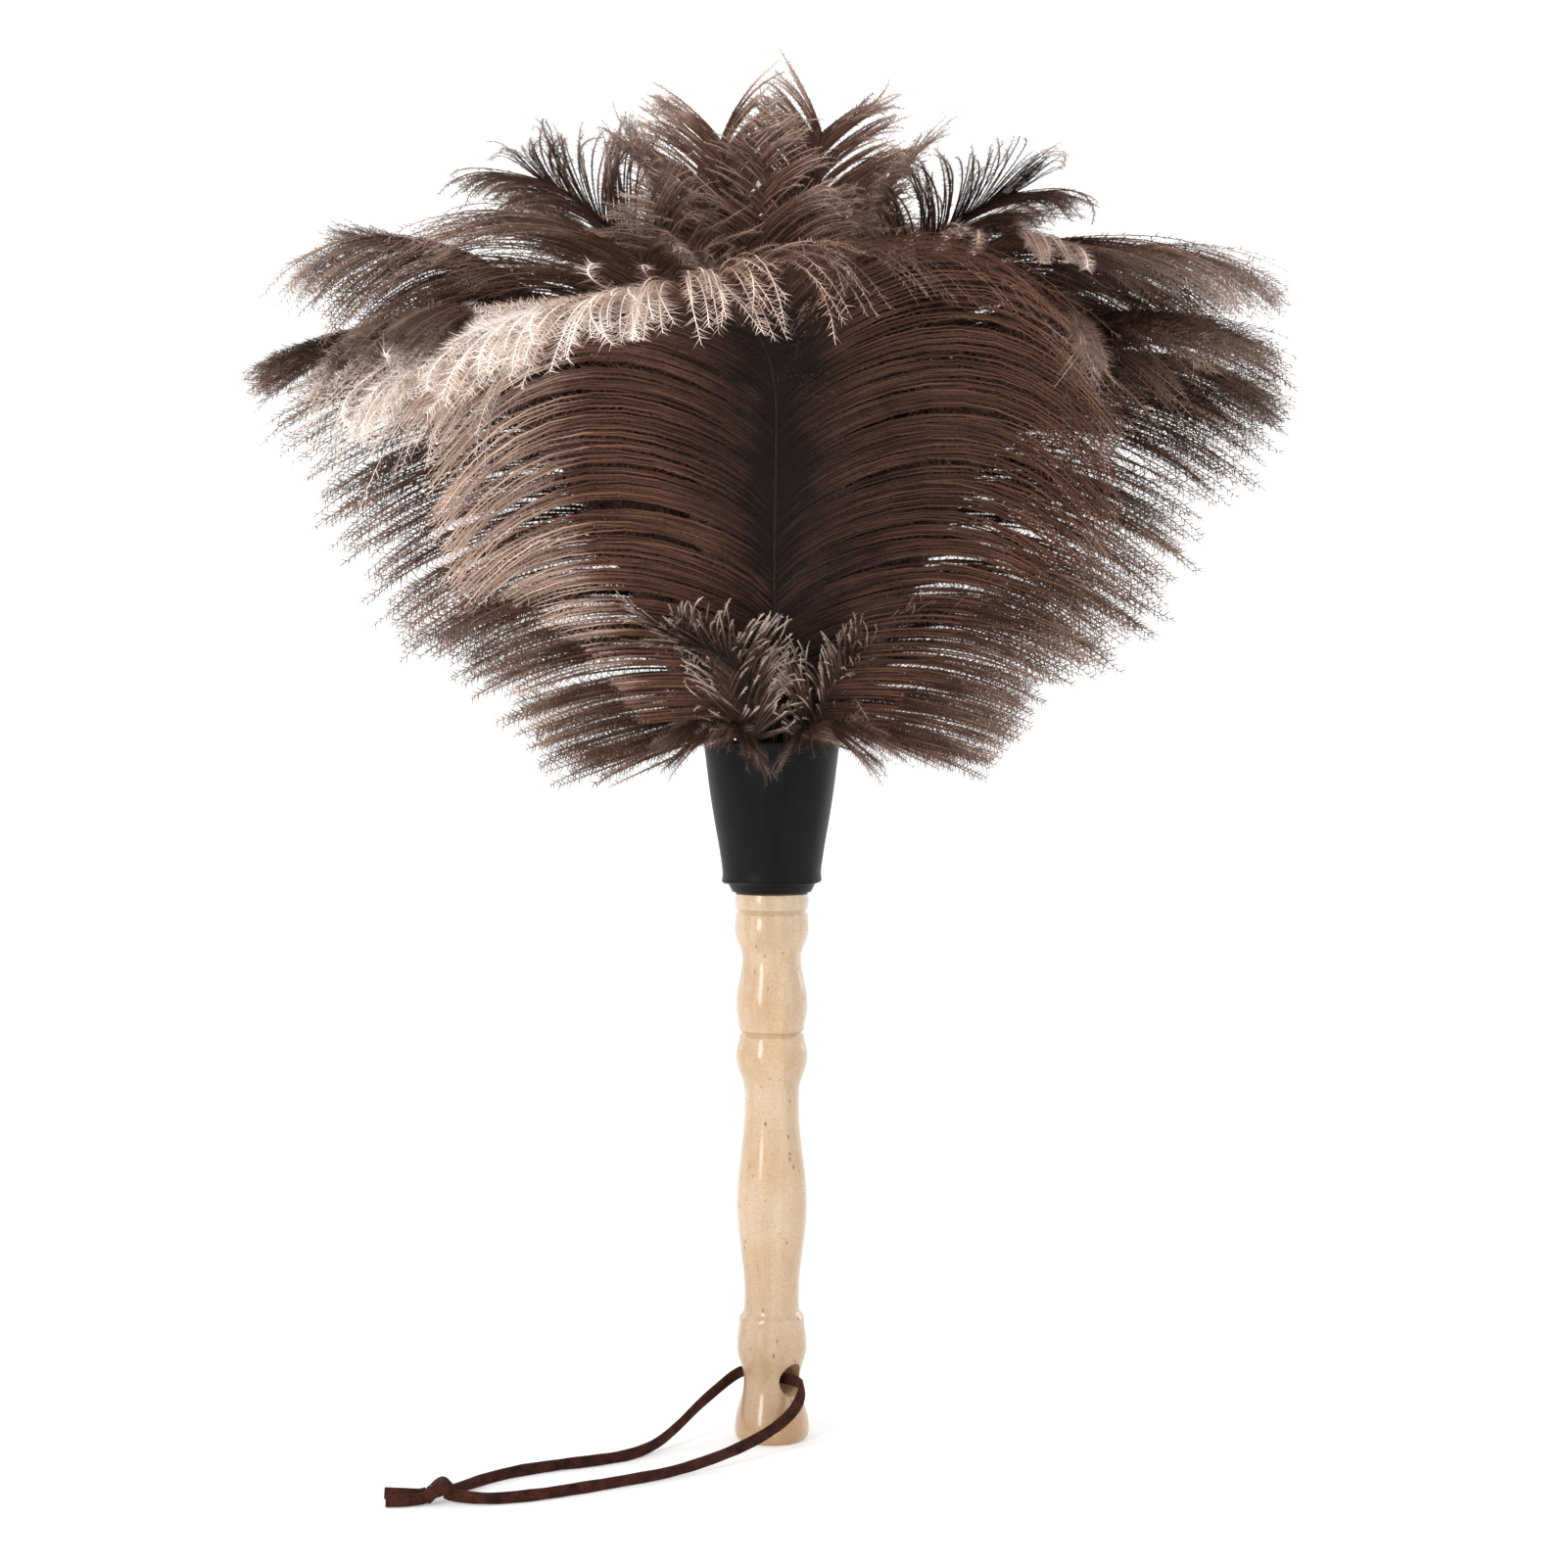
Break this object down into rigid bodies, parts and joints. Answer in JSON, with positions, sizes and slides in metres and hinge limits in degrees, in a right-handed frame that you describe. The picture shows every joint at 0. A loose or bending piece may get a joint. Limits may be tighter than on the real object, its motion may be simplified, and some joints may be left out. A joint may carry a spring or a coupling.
{
  "type": "feather duster",
  "caption": "Feather duster with a turned pale wood handle, a black collar, a full head of brown ostrich feathers and a suede hanging loop.",
  "frame": {"origin": "centre of the flat foot of the handle, on the surface that the duster stands on", "axes": "+Z along the handle towards the feathers, -Y towards the viewer of the front, -X the side on which the hanging loop lies"},
  "size_m": [0.2919, 0.2802, 0.3901],
  "materials": {
    "wood": "satin",
    "collar_rubber": "satin",
    "feather": "matte",
    "wire": "satin",
    "suede": "matte"
  },
  "bodies": {
    "duster": {"handle": "wood", "collar": "collar_rubber", "binding_wire_crown": "wire", "binding_wire_inner": "wire", "binding_wire_middle": "wire", "binding_wire_outer": "wire", "feather_crown_1": "feather", "feather_crown_2": "feather", "feather_crown_3": "feather", "feather_crown_4": "feather", "feather_crown_5": "feather", "feather_crown_6": "feather", "feather_inner_1": "feather", "feather_inner_2": "feather", "feather_inner_3": "feather", "feather_inner_4": "feather", "feather_inner_5": "feather", "feather_inner_6": "feather", "feather_middle_1": "feather", "feather_middle_2": "feather", "feather_middle_3": "feather", "feather_middle_4": "feather", "feather_middle_5": "feather", "feather_middle_6": "feather", "feather_outer_1": "feather", "feather_outer_2": "feather", "feather_outer_3": "feather", "feather_outer_4": "feather", "feather_outer_5": "feather", "feather_outer_6": "feather", "feather_tuft_1": "feather", "feather_tuft_2": "feather", "feather_tuft_3": "feather", "feather_tuft_4": "feather", "feather_tuft_5": "feather", "feather_tuft_6": "feather"},
    "loop": {"lace_front_strand": "suede", "lace_back_strand": "suede", "lace_knot": "suede", "lace_tail_left": "suede", "lace_tail_right": "suede"}
  },
  "joints": [
    {"name": "loop_swing", "type": "hinge", "parent": "duster", "child": "loop", "pos_m": [0, 0, 0.0184], "axis": [-0.7071, 0.7071, 0], "range_deg": [-80, 75]}
  ]
}
